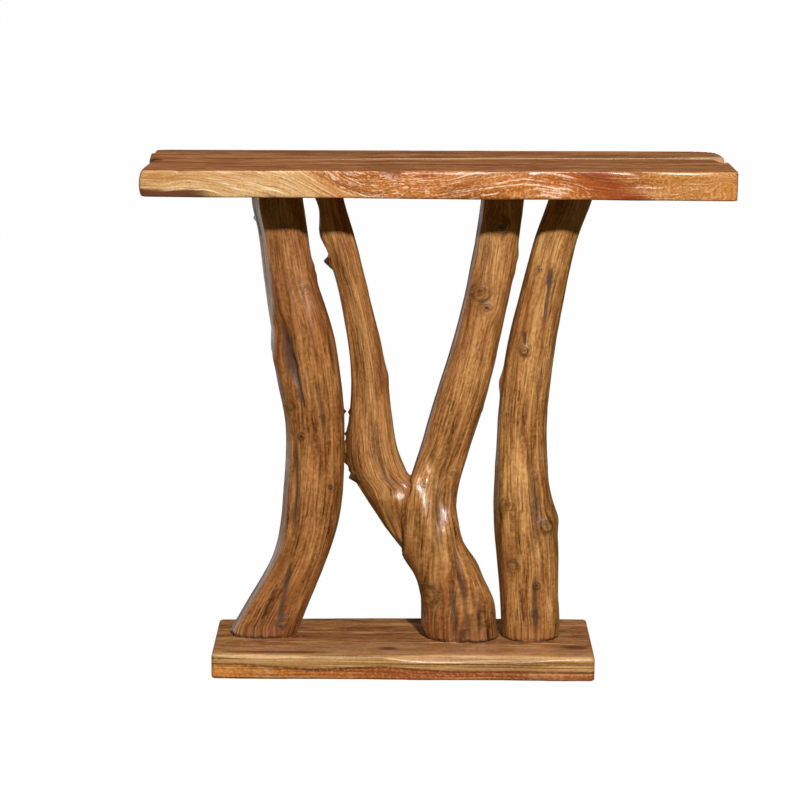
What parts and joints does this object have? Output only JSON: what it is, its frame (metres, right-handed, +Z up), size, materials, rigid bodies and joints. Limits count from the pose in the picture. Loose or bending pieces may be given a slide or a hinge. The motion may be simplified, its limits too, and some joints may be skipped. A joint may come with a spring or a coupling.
{
  "type": "live edge console table",
  "caption": "Rustic console table with a live edge plank top carried on bowed and forked natural logs that stand on a plank base.",
  "frame": {"origin": "on the floor, under the middle of the top", "axes": "+X to the right along the table, -Y towards the front, +Z up"},
  "size_m": [0.914, 0.305, 0.815],
  "materials": {
    "top_wood": "gloss varnish",
    "base_wood": "gloss varnish",
    "left_log_wood": "gloss varnish",
    "fork_log_wood": "gloss varnish",
    "right_log_wood": "gloss varnish",
    "dowel_wood": "plain",
    "zinc_steel": "zinc plated"
  },
  "bodies": {
    "root": {"top_front_board": "top_wood", "top_back_board": "top_wood", "base_front_board": "base_wood", "base_back_board": "base_wood", "left_log": "left_log_wood", "fork_log": "fork_log_wood", "right_log": "right_log_wood", "left_log_head_dowels": "dowel_wood", "fork_trunk_head_dowels": "dowel_wood", "fork_branch_head_dowels": "dowel_wood", "right_log_head_dowels": "dowel_wood", "top_seam_dowels": "dowel_wood", "base_seam_dowels": "dowel_wood", "left_log_lag_screws": "zinc_steel", "left_log_washers": "zinc_steel", "fork_log_lag_screws": "zinc_steel", "fork_log_washers": "zinc_steel", "right_log_lag_screws": "zinc_steel", "right_log_washers": "zinc_steel"}
  },
  "joints": []
}
